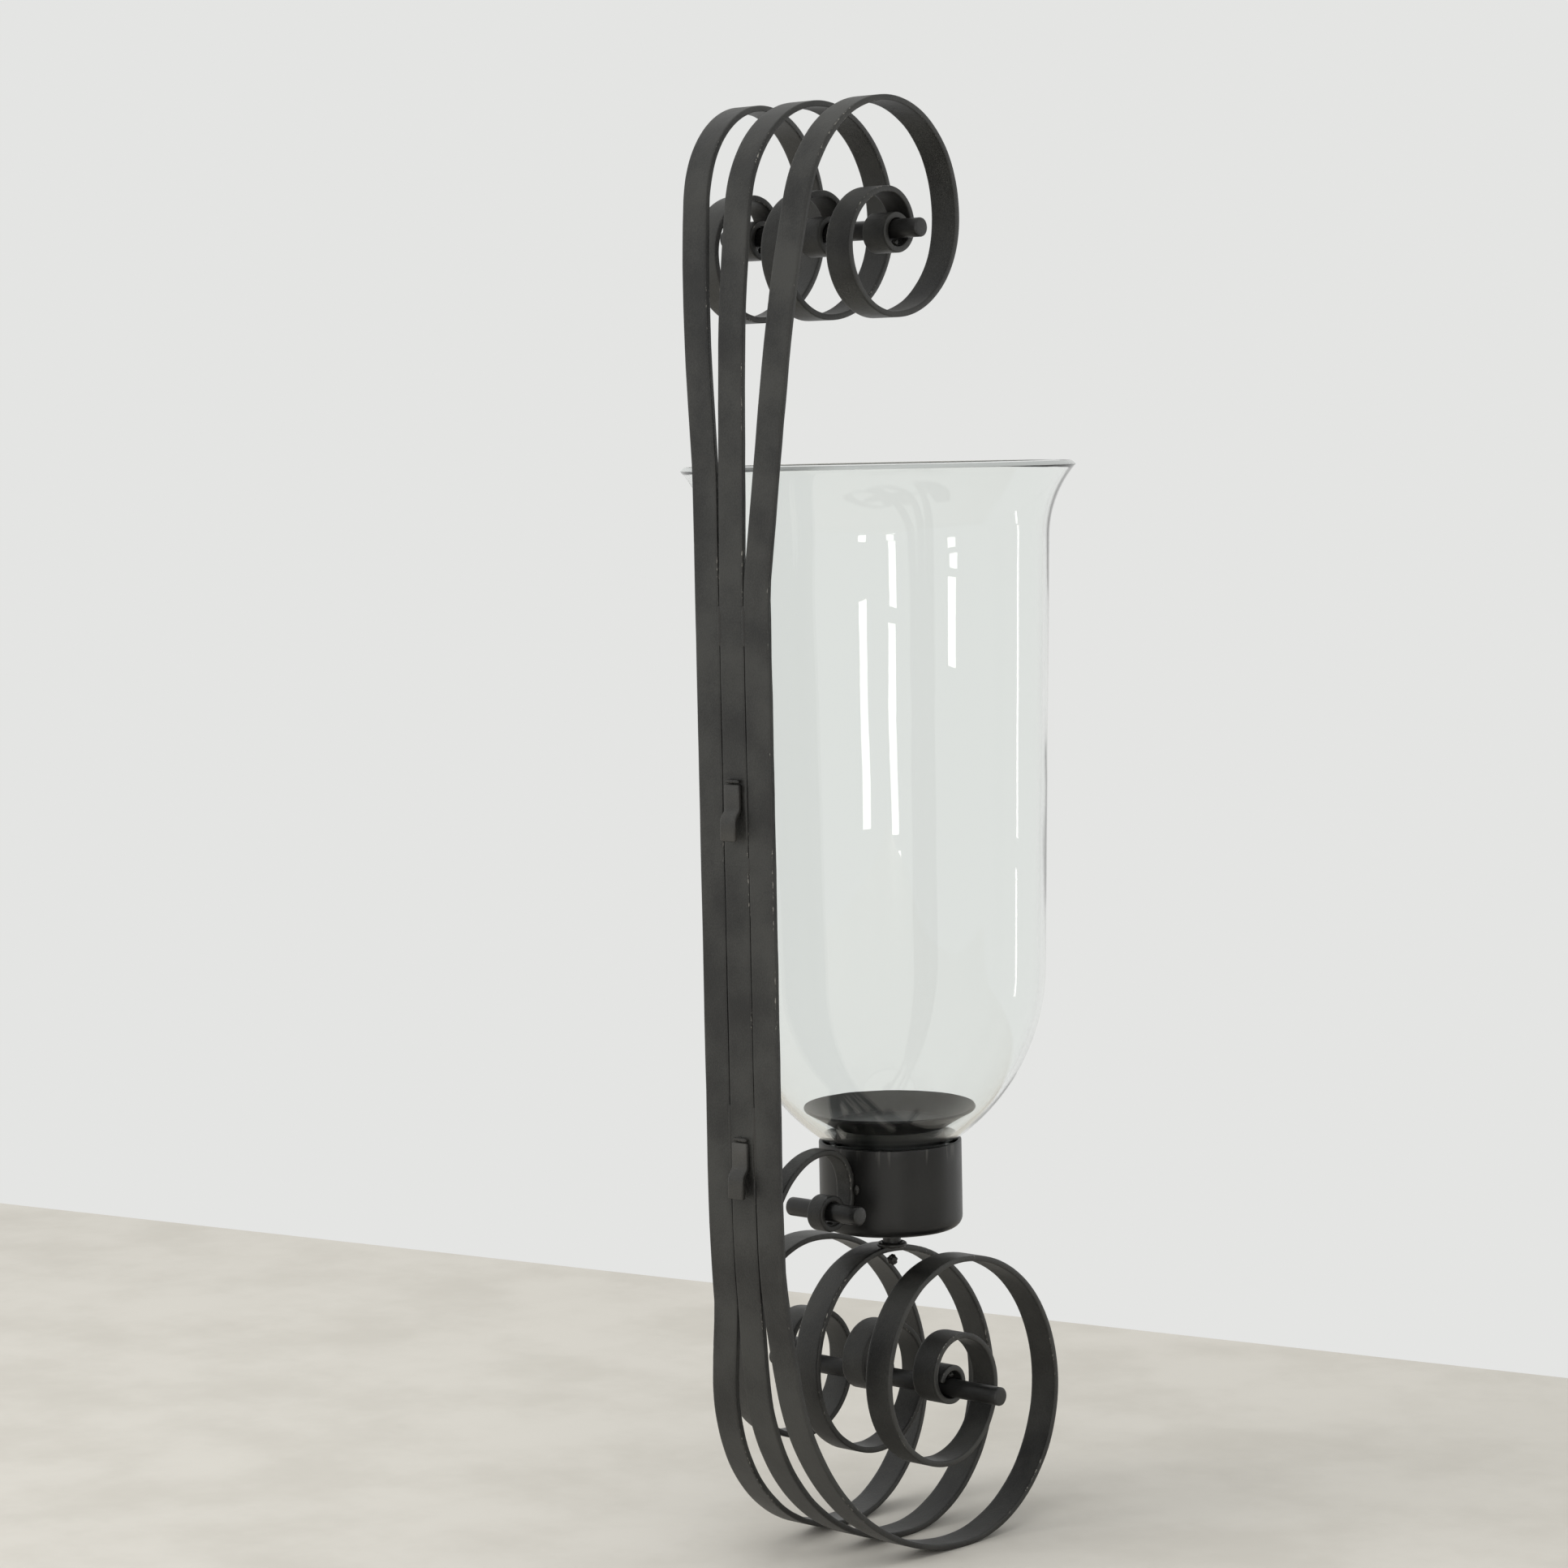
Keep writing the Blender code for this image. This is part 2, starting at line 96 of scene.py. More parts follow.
bottom_splay_run = 0.577
pitch = bar_width + gap
bar_offset = {"left": pitch, "middle": 0.0, "right": -pitch}

hook_width = 0.0125
hook_thickness = 0.003
hook_slot = 0.0042
hook_plate = 0.014
hook_leg = 0.011
hook_bend_radius = 0.008
hook_bend = 42
bar_back = -(gap + hook_thickness + hook_slot)
bar_front = bar_back - bar_thickness

bracket_front_radius = 0.026
bracket_front_line = 0.006
bracket_low_radius = 0.021
bracket_top_radius = 0.050
bracket_top_angle = 50
bracket_foot = 0.008
bracket_eye_clearance = 0.0015
bracket_eye_roll = 270

cup_wall = 0.0025
cup_corner = 0.0075
neck_radius = 0.0396
neck_above_cup = -0.0061
glass_wall = 0.004
neck_fillet = 0.008
bowl_radius = 0.136
bowl_angle = 55.35
body_taper = 1.33
body_height = 0.2769
flare_radius = 0.0695
flare_angle = 41.5
rim_held_back = 0.3              # degrees left out of the flare for the dressed rim
pan_wall = 0.0015
pan_floor_radius = 0.038
pan_depth = 0.011

# ---------------------------------------------------------------- fineness
arc_step = 3.0                   # degrees
straight_step = 0.012
turn_steps = 144
edge_roll = 0.0007               # radius of the rolled edges of the bars
edge_band = 0.0013               # width of the band beside them that wears
lip_softness = 0.0016            # how far the dressed lips of glass and pan are domed


# ---------------------------------------------------------------- node helpers
def add(tree, kind, place, **settings):
    """A node of this kind, with its settings and its unlinked inputs filled in."""
    made = tree.nodes.new(kind)
    made.location = place
    for key, value in settings.items():
        setattr(made, key, value)
    return made


def fill(made, **values):
    for key, value in values.items():
        made.inputs[key.replace("_", " ")].default_value = value
    return made


def math_node(tree, operation, place, first, second=None, clamp=False):
    made = add(tree, "ShaderNodeMath", place, operation=operation, use_clamp=clamp)
    for socket, value in zip(made.inputs, (first, second)):
        if value is None:
            continue
        if isinstance(value, (int, float)):
            socket.default_value = value
        else:
            tree.links.new(value, socket)
    return made.outputs[0]


def ramp(tree, place, value, low, high, to_low=0.0, to_high=1.0):
    """Value mapped smoothly from low..high to to_low..to_high."""
    made = add(tree, "ShaderNodeMapRange", place, interpolation_type="SMOOTHSTEP")
    tree.links.new(value, made.inputs["Value"])
    fill(made, From_Min=low, From_Max=high, To_Min=to_low, To_Max=to_high)
    return made.outputs["Result"]


def blend_colour(tree, place, share, first, second):
    made = add(tree, "ShaderNodeMix", place, data_type="RGBA")
    tree.links.new(share, made.inputs["Factor"])
    for socket, value in ((made.inputs[6], first), (made.inputs[7], second)):
        if isinstance(value, tuple):
            socket.default_value = (*value, 1.0)
        else:
            tree.links.new(value, socket)
    return made.outputs[2]


def group(name, inputs, outputs):
    """An empty node group with named sockets, and its input and output nodes."""
    tree = bpy.data.node_groups.new(name, "ShaderNodeTree")
    for label, start in inputs:
        socket = tree.interface.new_socket(label, in_out="INPUT", socket_type="NodeSocketFloat")
        socket.default_value = start
    for label in outputs:
        tree.interface.new_socket(label, in_out="OUTPUT", socket_type="NodeSocketFloat")
    return tree, add(tree, "NodeGroupInput", (-900, 0)), add(tree, "NodeGroupOutput", (900, 0))


def noise_texture(tree, place, where, scale, detail=4.0, roughness=0.55):
    made = add(tree, "ShaderNodeTexNoise", place)
    tree.links.new(where, made.inputs["Vector"])
    if isinstance(scale, (int, float)):
        fill(made, Scale=scale)
    else:
        tree.links.new(scale, made.inputs["Scale"])
    fill(made, Detail=detail, Roughness=roughness)
    return made.outputs["Fac"]


def forged_skin():
    """Grain and soft hammer marks of painted iron: a height and a tone."""
    tree, given, out = group("forged skin", (("Scale", 1.0), ("Hammering", 0.5)),
                             ("Height", "Tone"))
    where = add(tree, "ShaderNodeTexCoord", (-700, 200)).outputs["Object"]
    fine = math_node(tree, "MULTIPLY", (-600, 0), given.outputs["Scale"], 900.0)
    coarse = math_node(tree, "MULTIPLY", (-600, -150), given.outputs["Scale"], 95.0)
    grain = noise_texture(tree, (-350, 200), where, fine, 3.0, 0.6)
    dents = noise_texture(tree, (-350, 0), where, coarse, 2.0, 0.4)
    broad = noise_texture(tree, (-350, -200), where, 22.0, 3.0, 0.5)
    deep = math_node(tree, "MULTIPLY", (0, 0), dents, given.outputs["Hammering"])
    height = math_node(tree, "ADD", (200, 100),
                       math_node(tree, "MULTIPLY", (0, 200), grain, 0.35), deep)
    tone = math_node(tree, "ADD", (200, -150),
                     math_node(tree, "MULTIPLY", (0, -150), broad, 0.7),
                     math_node(tree, "MULTIPLY", (0, -300), grain, 0.3))
    tree.links.new(height, out.inputs["Height"])
    tree.links.new(tone, out.inputs["Tone"])
    return tree


def rubbed_edges():
    """Where paint has worn off the rolled edges: a mask of specks and short streaks."""
    tree, given, out = group("rubbed edges", (("Edge", 0.0), ("Amount", 0.5)), ("Mask",))
    where = add(tree, "ShaderNodeTexCoord", (-700, 200)).outputs["Object"]
    stretch = add(tree, "ShaderNodeMapping", (-500, 200))
    tree.links.new(where, stretch.inputs["Vector"])
    stretch.inputs["Scale"].default_value = (1.0, 1.0, 0.35)
    specks = noise_texture(tree, (-300, 200), stretch.outputs["Vector"], 620.0, 4.0, 0.7)
    patches = noise_texture(tree, (-300, -50), where, 14.0, 2.0, 0.5)
    area = ramp(tree, (-50, -50), patches, 0.46, 0.62)
    edge = ramp(tree, (-50, -250), given.outputs["Edge"], 0.45, 0.95)
    reach = math_node(tree, "MULTIPLY", (150, -100), area, edge)
    reach = math_node(tree, "MULTIPLY", (300, -100), reach, given.outputs["Amount"])
    level = math_node(tree, "ADD", (450, 50), specks,
                      math_node(tree, "MULTIPLY", (300, -250), reach, 0.30))
    mask = ramp(tree, (600, 50), level, 0.73, 0.81)
    mask = math_node(tree, "MULTIPLY", (750, 0), mask, edge)
    tree.links.new(mask, out.inputs["Mask"])
    return tree


def settled_dust():
    """Dust and floor scuffs: a mask, more of it on what faces up."""
    tree, given, out = group("settled dust", (("Amount", 0.3),), ("Mask",))
    where = add(tree, "ShaderNodeTexCoord", (-700, 200)).outputs["Object"]
    facing = add(tree, "ShaderNodeNewGeometry", (-700, -100)).outputs["Normal"]
    split = add(tree, "ShaderNodeSeparateXYZ", (-500, -100))
    tree.links.new(facing, split.inputs["Vector"])
    up = ramp(tree, (-300, -100), split.outputs["Z"], 0.2, 1.0, 0.25, 1.0)
    cloud = noise_texture(tree, (-300, 200), where, 55.0, 5.0, 0.65)
    drift = ramp(tree, (-50, 200), cloud, 0.45, 0.75)
    both = math_node(tree, "MULTIPLY", (150, 50), up, drift)
    tree.links.new(math_node(tree, "MULTIPLY", (350, 50), both, given.outputs["Amount"]),
                   out.inputs["Mask"])
    return tree


skin_group = forged_skin()
edge_group = rubbed_edges()
dust_group = settled_dust()


# ---------------------------------------------------------------- finishes
def use_group(tree, kind, place, **values):
    made = add(tree, "ShaderNodeGroup", place, node_tree=kind)
    return fill(made, **values)


def new_finish(name, roughness):
    finish = bpy.data.materials.new(name)
    finish.use_nodes = True
    tree = finish.node_tree
    shader = tree.nodes["Principled BSDF"]
    shader.location = (900, 0)
    tree.nodes["Material Output"].location = (1200, 0)
    shader.inputs["Roughness"].default_value = roughness
    return finish, tree, shader


def iron_finish(name, black, lighter, roughness, scale=1.0, hammering=0.5, wear=0.5,
                dust=0.3, bump=0.35, depth=0.0006):
    """Black paint over forged iron: grain, hammer marks, rubbed edges and dust."""
    finish, tree, shader = new_finish(name, roughness)
    skin = use_group(tree, skin_group, (-400, 200), Scale=scale, Hammering=hammering)
    edge = add(tree, "ShaderNodeAttribute", (-650, -50), attribute_name="edge")
    rubbed = use_group(tree, edge_group, (-400, -50), Amount=wear)
    tree.links.new(edge.outputs["Fac"], rubbed.inputs["Edge"])
    dusty = use_group(tree, dust_group, (-400, -250), Amount=dust)
    tone = ramp(tree, (-150, 300), skin.outputs["Tone"], 0.35, 0.65)
    colour = blend_colour(tree, (100, 300), tone, black, lighter)
    colour = blend_colour(tree, (300, 200), dusty.outputs["Mask"], colour, (0.045, 0.042, 0.036))
    colour = blend_colour(tree, (500, 200), rubbed.outputs["Mask"], colour, (0.20, 0.19, 0.17))
    tree.links.new(colour, shader.inputs["Base Color"])
    gloss = ramp(tree, (100, 0), skin.outputs["Tone"], 0.3, 0.7, roughness - 0.07,
                 roughness + 0.09)
    gloss = math_node(tree, "ADD", (500, 0), gloss,
                      math_node(tree, "MULTIPLY", (300, -50), dusty.outputs["Mask"], 0.25))
    tree.links.new(gloss, shader.inputs["Roughness"])
    relief = add(tree, "ShaderNodeBump", (600, -300))
    fill(relief, Strength=bump, Distance=depth)
    tree.links.new(skin.outputs["Height"], relief.inputs["Height"])
    tree.links.new(relief.outputs["Normal"], shader.inputs["Normal"])
    return finish


def cup_finish(name, lip_height):
    """Smoother paint on the cup, with short light runs down from its lip."""
    finish, tree, shader = new_finish(name, 0.36)
    shader.inputs["Specular IOR Level"].default_value = 0.36
    where = add(tree, "ShaderNodeTexCoord", (-1100, 300)).outputs["Object"]
    long = add(tree, "ShaderNodeMapping", (-900, 300))
    long.inputs["Scale"].default_value = (1.0, 1.0, 0.06)
    tree.links.new(where, long.inputs["Vector"])
    streaks = noise_texture(tree, (-700, 300), long.outputs["Vector"], 260.0, 2.0, 0.5)
    split = add(tree, "ShaderNodeSeparateXYZ", (-900, 500))
    tree.links.new(where, split.inputs["Vector"])
    near_lip = ramp(tree, (-700, 500), split.outputs["Z"], lip_height - 0.013, lip_height - 0.001)
    runs = math_node(tree, "MULTIPLY", (-250, 400),
                     ramp(tree, (-450, 300), streaks, 0.56, 0.66), near_lip)
    skin = use_group(tree, skin_group, (-500, 50), Scale=0.8, Hammering=0.25)
    edge = add(tree, "ShaderNodeAttribute", (-700, -150), attribute_name="edge")
    rubbed = use_group(tree, edge_group, (-500, -150), Amount=0.4)
    tree.links.new(edge.outputs["Fac"], rubbed.inputs["Edge"])
    dusty = use_group(tree, dust_group, (-500, -350), Amount=0.12)
    tone = ramp(tree, (-250, 100), skin.outputs["Tone"], 0.35, 0.65)
    colour = blend_colour(tree, (-50, 200), tone, (0.006, 0.006, 0.006), (0.010, 0.010, 0.0095))
    colour = blend_colour(tree, (100, 250), runs, colour, (0.045, 0.044, 0.041))
    colour = blend_colour(tree, (250, 200), dusty.outputs["Mask"], colour, (0.06, 0.057, 0.05))
    colour = blend_colour(tree, (400, 200), rubbed.outputs["Mask"], colour, (0.16, 0.15, 0.135))
    tree.links.new(colour, shader.inputs["Base Color"])
    tree.links.new(ramp(tree, (0, 0), skin.outputs["Tone"], 0.3, 0.7, 0.32, 0.44),
                   shader.inputs["Roughness"])
    relief = add(tree, "ShaderNodeBump", (500, -200))
    fill(relief, Strength=0.12, Distance=0.0004)
    tree.links.new(skin.outputs["Height"], relief.inputs["Height"])
    tree.links.new(relief.outputs["Normal"], shader.inputs["Normal"])
    return finish


def glass_finish(name):
    """Clear blown glass with the faintest waviness."""
    finish, tree, shader = new_finish(name, 0.0)
    shader.inputs["Base Color"].default_value = (0.962, 0.978, 0.968, 1.0)
    shader.inputs["Transmission Weight"].default_value = 1.0
    shader.inputs["IOR"].default_value = 1.47
    where = add(tree, "ShaderNodeTexCoord", (-600, -200)).outputs["Object"]
    drawn = add(tree, "ShaderNodeMapping", (-400, -200))
    drawn.inputs["Scale"].default_value = (1.0, 1.0, 0.4)
    tree.links.new(where, drawn.inputs["Vector"])
    waves = noise_texture(tree, (-200, -200), drawn.outputs["Vector"], 26.0, 1.0, 0.3)
    relief = add(tree, "ShaderNodeBump", (500, -200))
    fill(relief, Strength=0.10, Distance=0.004)
    tree.links.new(waves, relief.inputs["Height"])
    tree.links.new(relief.outputs["Normal"], shader.inputs["Normal"])
    return finish


def painted_rim_line_finish(name):
    """The fire-polished rim of the glass, given a pale, half-clear finish: a painted light line where
    light gathers.
    """
    finish, _, shader = new_finish(name, 0.16)
    # pale base colour and half transmission paint the light line along the rim
    shader.inputs["Base Color"].default_value = (0.80, 0.835, 0.82, 1.0)
    shader.inputs["Transmission Weight"].default_value = 0.5
    shader.inputs["IOR"].default_value = 1.47
    return finish


def plaster_finish(name, colour, darker, scale):
    """Plain pale surface with a faint mottle."""
    finish, tree, shader = new_finish(name, 0.75)
    where = add(tree, "ShaderNodeTexCoord", (-600, 200)).outputs["Object"]
    mottle = noise_texture(tree, (-300, 200), where, scale, 6.0, 0.6)
    share = ramp(tree, (0, 200), mottle, 0.35, 0.7)
    tree.links.new(blend_colour(tree, (300, 200), share, colour, darker),
                   shader.inputs["Base Color"])
    relief = add(tree, "ShaderNodeBump", (500, -200))
    fill(relief, Strength=0.10, Distance=0.002)
    tree.links.new(mottle, relief.inputs["Height"])
    tree.links.new(relief.outputs["Normal"], shader.inputs["Normal"])
    return finish


bar_paint = iron_finish("black bar paint", (0.004, 0.004, 0.0037), (0.027, 0.027, 0.0245), 0.43,
                        wear=0.7, dust=0.34, bump=0.6, depth=0.0009)
rod_paint = iron_finish("black rod paint", (0.004, 0.004, 0.004), (0.011, 0.011, 0.0105), 0.36,
                        hammering=0.3, wear=0.5, dust=0.15)
hook_paint = iron_finish("black hook paint", (0.010, 0.010, 0.0095), (0.045, 0.043, 0.039), 0.44,
                         scale=1.3, hammering=0.8, wear=1.0, dust=0.35)
weld_paint = iron_finish("paint over weld", (0.006, 0.006, 0.0055), (0.020, 0.019, 0.017), 0.38,
                         scale=1.6, hammering=1.0, wear=0.2, dust=0.35, bump=0.6)
pan_paint = iron_finish("pan paint", (0.005, 0.005, 0.005), (0.013, 0.013, 0.0125), 0.40,
                        scale=0.8, hammering=0.2, wear=0.2, dust=0.25)
cup_paint = cup_finish("cup paint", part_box("cup")[1].z)
clear_glass = glass_finish("blown glass")
# the rim finish is a painted pale light line along the dressed lip of the glass
rim_glass_painted_light = painted_rim_line_finish("rim glass with painted light line")


# ---------------------------------------------------------------- shaping helpers
def place_piece(name, node, mesh, finish, body="frame", sharp=50):
    """Turn a bmesh into a piece that stands for a node and rides on its body."""
    bmesh.ops.recalc_face_normals(mesh, faces=mesh.faces)
    data = bpy.data.meshes.new(name)
    mesh.to_mesh(data)
    mesh.free()
    data.materials.append(finish)
    data.shade_smooth()
    data.set_sharp_from_angle(angle=math.radians(sharp))
    piece = bpy.data.objects.new(name, data)
    bpy.context.collection.objects.link(piece)
    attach(piece, body)
    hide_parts(node)
    return piece


def middle_of(node):
    low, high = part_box(node)
    return (low + high) / 2


def sway(first, second, third=0.0):
    """Smooth chance between 0 and 1 at a place, the same each time."""
    return min(1.0, max(0.0, 0.5 + noise.noise(Vector((first, second, third))) * 0.9))


class Trace:
    """A route in the y-z plane, drawn forward with lines and arcs."""

    def __init__(self, start, heading_degrees):
        self.point = Vector(start)
        self.heading = math.radians(heading_degrees)
        self.length = 0.0
        self.stations = [self.station()]

    def station(self):
        direction = Vector((math.cos(self.heading), math.sin(self.heading)))
        return (self.point.copy(), direction, self.length)

    def line(self, length):
        direction = Vector((math.cos(self.heading), math.sin(self.heading)))
        steps = max(1, math.ceil(length / straight_step))
        start, start_length = self.point.copy(), self.length
        for step in range(1, steps + 1):
            self.point = start + direction * length * step / steps
            self.length = start_length + length * step / steps
            self.stations.append(self.station())

    def arc(self, radius, degrees, largest_step=arc_step):
        """Turn left for a positive angle, right for a negative one."""
        side = 1 if degrees > 0 else -1
        left = Vector((-math.sin(self.heading), math.cos(self.heading)))
        centre = self.point + left * radius * side
        steps = max(2, math.ceil(abs(degrees) / largest_step))
        start_heading, start_length = self.heading, self.length
        spoke = self.point - centre
        for step in range(1, steps + 1):
            turn = math.radians(degrees) * step / steps
            self.heading = start_heading + turn
            self.point = centre + Matrix.Rotation(turn, 2) @ spoke
            self.length = start_length + abs(turn) * radius
            self.stations.append(self.station())


def bar_section(width, thickness, inset):
    """Outline of a flat bar with rolled edges, as (across, through, edge share)."""
    half = width / 2 - inset
    low, high = inset, thickness - inset
    roll = max(0.0002, edge_roll - inset * 0.5)
    outline = []
    for across, through, start in ((half, low, -90), (half, high, 0), (-half, high, 90),
                                   (-half, low, 180)):
        side = 1 if across > 0 else -1
        rise = 1 if through == low else -1
        centre = (across - side * roll, through + rise * roll)
        corner = [(centre[0] + roll * math.cos(math.radians(start + turn)),
                   centre[1] + roll * math.sin(math.radians(start + turn)),
                   1.0 if turn == 45 else 0.7) for turn in (0, 45, 90)]
        flat = (centre[0] - side * edge_band, through, 0.0)
        outline += [flat] + corner if start in (-90, 90) else corner + [flat]
    return outline


def swept_bar(name, node, stations, offset_at, width_at, thickness, finish, seed, wander=1.0):
    """Sweep a hammered flat bar along stations traced on its outer face."""
    mesh = bmesh.new()
    edge_layer = mesh.verts.layers.float.new("edge")
    end_roll = edge_roll
    first, last = stations[0], stations[-1]
    rows = [(first[0], first[1], first[2], end_roll)]
    rows.append((first[0] + first[1] * end_roll, first[1], first[2] + end_roll, 0.0))
    rows += [(*station, 0.0) for station in stations[1:-1]]
    rows.append((last[0] - last[1] * end_roll, last[1], last[2] - end_roll, 0.0))
    rows.append((last[0], last[1], last[2], end_roll))
    rings = []
    for point, direction, length, inset in rows:
        left = Vector((-direction.y, direction.x))
        middle = offset_at(length) + wander * 0.00022 * (sway(length * 30, seed, 1.7) - 0.5)
        width = width_at(length) - wander * 0.00035 * sway(length * 45, seed, 5.1)
        narrow = thickness - wander * 0.00030 * sway(length * 60, seed, 9.3)
        ring = []
        for across, through, edge in bar_section(width, narrow, inset):
            dent = wander * 0.00008 * sway(across * 160, length * 120, seed + through * 900)
            spot = point + left * (through + (dent if through < thickness / 2 else -dent))
            vert = mesh.verts.new((middle + across, spot.x, spot.y))
            vert[edge_layer] = edge
            ring.append(vert)
        rings.append(ring)
    count = len(rings[0])
    for before, after in zip(rings, rings[1:]):
        for corner in range(count):
            beside = (corner + 1) % count
            mesh.faces.new((before[corner], before[beside], after[beside], after[corner]))
    mesh.faces.new(rings[0])
    mesh.faces.new(rings[-1])
    return place_piece(name, node, mesh, finish)


def turned_piece(name, node, outline, place, finish, body="frame", axis=(0, 0, 1),
                 steps=turn_steps, sharp=50, swell=None):
    """Revolve a closed outline of (radius, height, edge share) about an axis."""
    mesh = bmesh.new()
    edge_layer = mesh.verts.layers.float.new("edge")
    columns = []
    for radius, height, edge in outline:
        count = 1 if radius < 1e-7 else steps
        column = []
        for step in range(count):
            angle = 2 * math.pi * step / steps
            reach, rise = (radius, height) if swell is None else swell(radius, height, angle)
            vert = mesh.verts.new((reach * math.cos(angle), reach * math.sin(angle), rise))
            vert[edge_layer] = edge
            column.append(vert)
        columns.append(column)
    for first, second in zip(columns, columns[1:] + columns[:1]):
        if len(first) == 1 and len(second) == 1:
            continue
        for step in range(steps):
            after = (step + 1) % steps
            corners = [first[step % len(first)], second[step % len(second)],
                       second[after % len(second)], first[after % len(first)]]
            mesh.faces.new(list(dict.fromkeys(corners)))
    turn = Vector((0, 0, 1)).rotation_difference(Vector(axis)).to_matrix().to_4x4()
    bmesh.ops.transform(mesh, matrix=Matrix.Translation(place) @ turn, verts=mesh.verts)
    return place_piece(name, node, mesh, finish, body, sharp)


def weld_run(mesh, start, end, across, up, radius, height, seed, sides=12):
    """A rippled bead of weld from start to end, added to a mesh as a closed tube."""
    edge_layer = mesh.verts.layers.float.get("edge") or mesh.verts.layers.float.new("edge")
    start, end, across, up = (Vector(value) for value in (start, end, across, up))
    length = (end - start).length
    steps = max(10, math.ceil(length / 0.0004))
    ripple = max(2, round(length / 0.0022))
    rings = []
    for step in range(1, steps):
        share = step / steps
        cap = math.sqrt(max(0.0, 1 - abs(2 * share - 1) ** 6))
        wave = 0.86 + 0.14 * abs(math.sin(math.pi * ripple * share + 0.6 * sway(share * 9, seed)))
        lump = 0.80 + 0.20 * sway(share * length * 300, seed, 3.3)
        size = cap * wave * lump
        middle = start.lerp(end, share) + across * radius * 0.15 * (sway(share * 7, seed, 8.1) - 0.5)
        rings.append([mesh.verts.new(middle
                                     + across * radius * size * math.cos(2 * math.pi * k / sides)
                                     + up * height * size * math.sin(2 * math.pi * k / sides))
                      for k in range(sides)])
    tips = [mesh.verts.new(start), mesh.verts.new(end)]
    for before, after in zip(rings, rings[1:]):
        for corner in range(sides):
            beside = (corner + 1) % sides
            mesh.faces.new((before[corner], before[beside], after[beside], after[corner]))
    for tip, ring in ((tips[0], rings[0]), (tips[1], rings[-1])):
        for corner in range(sides):
            mesh.faces.new((tip, ring[corner], ring[(corner + 1) % sides]))
    for ring in rings:
        for vert in ring:
            vert[edge_layer] = 0.2


# ---------------------------------------------------------------- the three bars
def blend(start, slope, end, share):
    square, cube = share * share, share * share * share
    return (start * (2 * cube - 3 * square + 1) + slope * (cube - 2 * square + share)
            + end * (3 * square - 2 * cube))


def end_route(upper):
    """Half of a bar, from the level of the origin to the tip of one eye."""
    radii = top_scroll if upper else bottom_scroll
    spring = top_spring if upper else -bottom_spring
    lean = top_lean if upper else bottom_lean
    trace = Trace((bar_back, 0.0), 90)
    trace.line(spring - lean_radius * math.sin(math.radians(lean)))
    trace.arc(lean_radius, lean, 0.8)
    spring_length = trace.length
    trace.arc(radii[0], 90 - lean, 2.0)
    turns = [trace.point.copy()]
    for radius in radii[1:]:
        trace.arc(radius, 90)
        turns.append(trace.point.copy())
    trace.arc(eye_radius, eye_roll, 7.5)
    return trace, spring_length, turns


def splayed(side, splay, length, spring_length, run):
    """Sideways place of a bar at a length from the level of the origin."""
    start_height, at_spring, at_eye = splay[side]
    start = bar_offset[side]
    beyond = length - abs(start_height)
    to_spring = spring_length - abs(start_height)
    slope = (at_spring - start) / to_spring
    if beyond <= 0:
        return start
    if beyond <= to_spring:
        return start + slope * beyond
    return blend(at_spring, slope * run, at_eye, min(1.0, (beyond - to_spring) / run))


def drawn_width(beyond_spring, radii):
    """Full width through the first quarter turns, then an even draw to the eye."""
    run = sum(math.pi / 2 * radius for radius in radii[:full_width_turns])
    whole = sum(math.pi / 2 * radius for radius in radii)
    share = min(1.0, max(0.0, (beyond_spring - run) / (whole - run)))
    return bar_width + (bar_eye_width - bar_width) * share


upper_trace, upper_spring, _ = end_route(True)
lower_trace, lower_spring, _ = end_route(False)


def draw_bar(side, seed):
    """One flat bar from the tip of its lower eye to the tip of its upper one."""
    lower = [(Vector((point.x, -point.y)), Vector((-direction.x, direction.y)), -length)
             for point, direction, length in reversed(lower_trace.stations[1:])]
    stations = lower + upper_trace.stations

    def offset_at(length):
        if length < 0:
            return splayed(side, bottom_splay, -length, lower_spring, bottom_splay_run)
        return splayed(side, top_splay, length, upper_spring, top_splay_run)

    def width_at(length):
        if length < 0:
            return drawn_width(-length - lower_spring, bottom_scroll)
        return drawn_width(length - upper_spring, top_scroll)

    swept_bar("bar_" + side, "strap_" + side, stations, offset_at, width_at, bar_thickness,
              bar_paint, seed)


for seed, side in enumerate(bar_offset):
    draw_bar(side, 3.7 + 11.3 * seed)


# ---------------------------------------------------------------- rods
def draw_rod(name, node):
    """A round rod along x, its ends sawn off and lightly dressed."""
    low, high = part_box(node)
    length = high.x - low.x
    chamfer = 0.0008
    ends = [(0.0, 0.0, 0.0), (rod_radius - chamfer * 2, 0.0, 0.1), (rod_radius - chamfer, 0.0001, 0.8),
            (rod_radius - chamfer * 0.25, chamfer * 0.55, 1.0), (rod_radius, chamfer * 1.4, 0.5)]
    rings = math.ceil(length / 0.006)
    between = [(rod_radius, length * step / rings, 0.0) for step in range(1, rings)]
    outline = ends + between + [(radius, length - height, edge)
                                for radius, height, edge in reversed(ends)]
    middle = (low + high) / 2

    def swell(radius, height, angle):
        dent = 0.00012 * sway(height * 90, math.cos(angle) * 1.3, math.sin(angle) * 1.3 + low.x)
        return max(0.0, radius - dent * min(1.0, radius / rod_radius)), height

    turned_piece(name, node, outline, (low.x, middle.y, middle.z), rod_paint, axis=(1, 0, 0),
                 steps=48, swell=swell)


for name, node in (("upper_bar_rod", "top_rod"), ("lower_bar_rod", "bottom_rod"),
                   ("short_bracket_rod", "bracket_rod")):
    draw_rod(name, node)


